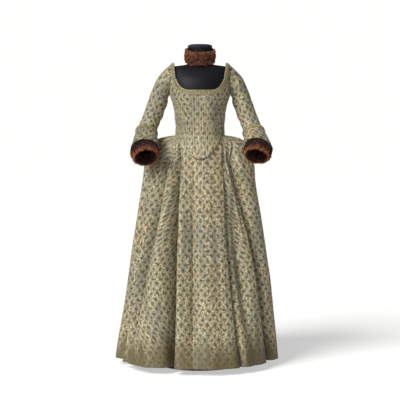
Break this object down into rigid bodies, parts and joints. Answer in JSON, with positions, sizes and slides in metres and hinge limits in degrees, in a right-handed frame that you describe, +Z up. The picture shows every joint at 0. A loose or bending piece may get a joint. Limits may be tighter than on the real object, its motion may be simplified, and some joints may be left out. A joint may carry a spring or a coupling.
{
  "type": "robe a la francaise on a dress form",
  "caption": "Long brocade gown with a pointed bodice, fur collar and fur cuffs, pleated back and full skirt, standing on a limbless black dress form.",
  "frame": {"origin": "middle of the underside of the form's foot plate, on the floor", "axes": "+Z up, the gown faces -Y, +X is to the right of someone who faces it"},
  "size_m": [0.7298, 0.7897, 1.44],
  "materials": {
    "brocade": "satin brocade",
    "gold_braid": "dull gold braid",
    "fur": "deep brown fur",
    "form_cloth": "black jersey",
    "form_metal": "black satin"
  },
  "bodies": {
    "root": {"form_torso": "form_cloth", "form_cap": "form_cloth", "form_pole": "form_metal", "form_base": "form_metal", "bodice_front_left": "brocade", "bodice_front_right": "brocade", "bodice_side_left": "brocade", "bodice_side_right": "brocade", "bodice_back": "brocade", "strap_left": "brocade", "strap_right": "brocade", "neckline_braid_front": "gold_braid", "neckline_braid_back": "gold_braid", "neckline_braid_left": "gold_braid", "neckline_braid_right": "gold_braid", "sleeve_left": "brocade", "sleeve_right": "brocade", "cuff_left": "brocade", "cuff_right": "brocade", "cuff_braid_left": "gold_braid", "cuff_braid_right": "gold_braid", "fur_cuff_left": "fur", "fur_cuff_right": "fur", "fur_collar": "fur", "skirt_front": "brocade", "skirt_left": "brocade", "skirt_right": "brocade", "sack_back": "brocade"}
  },
  "joints": []
}
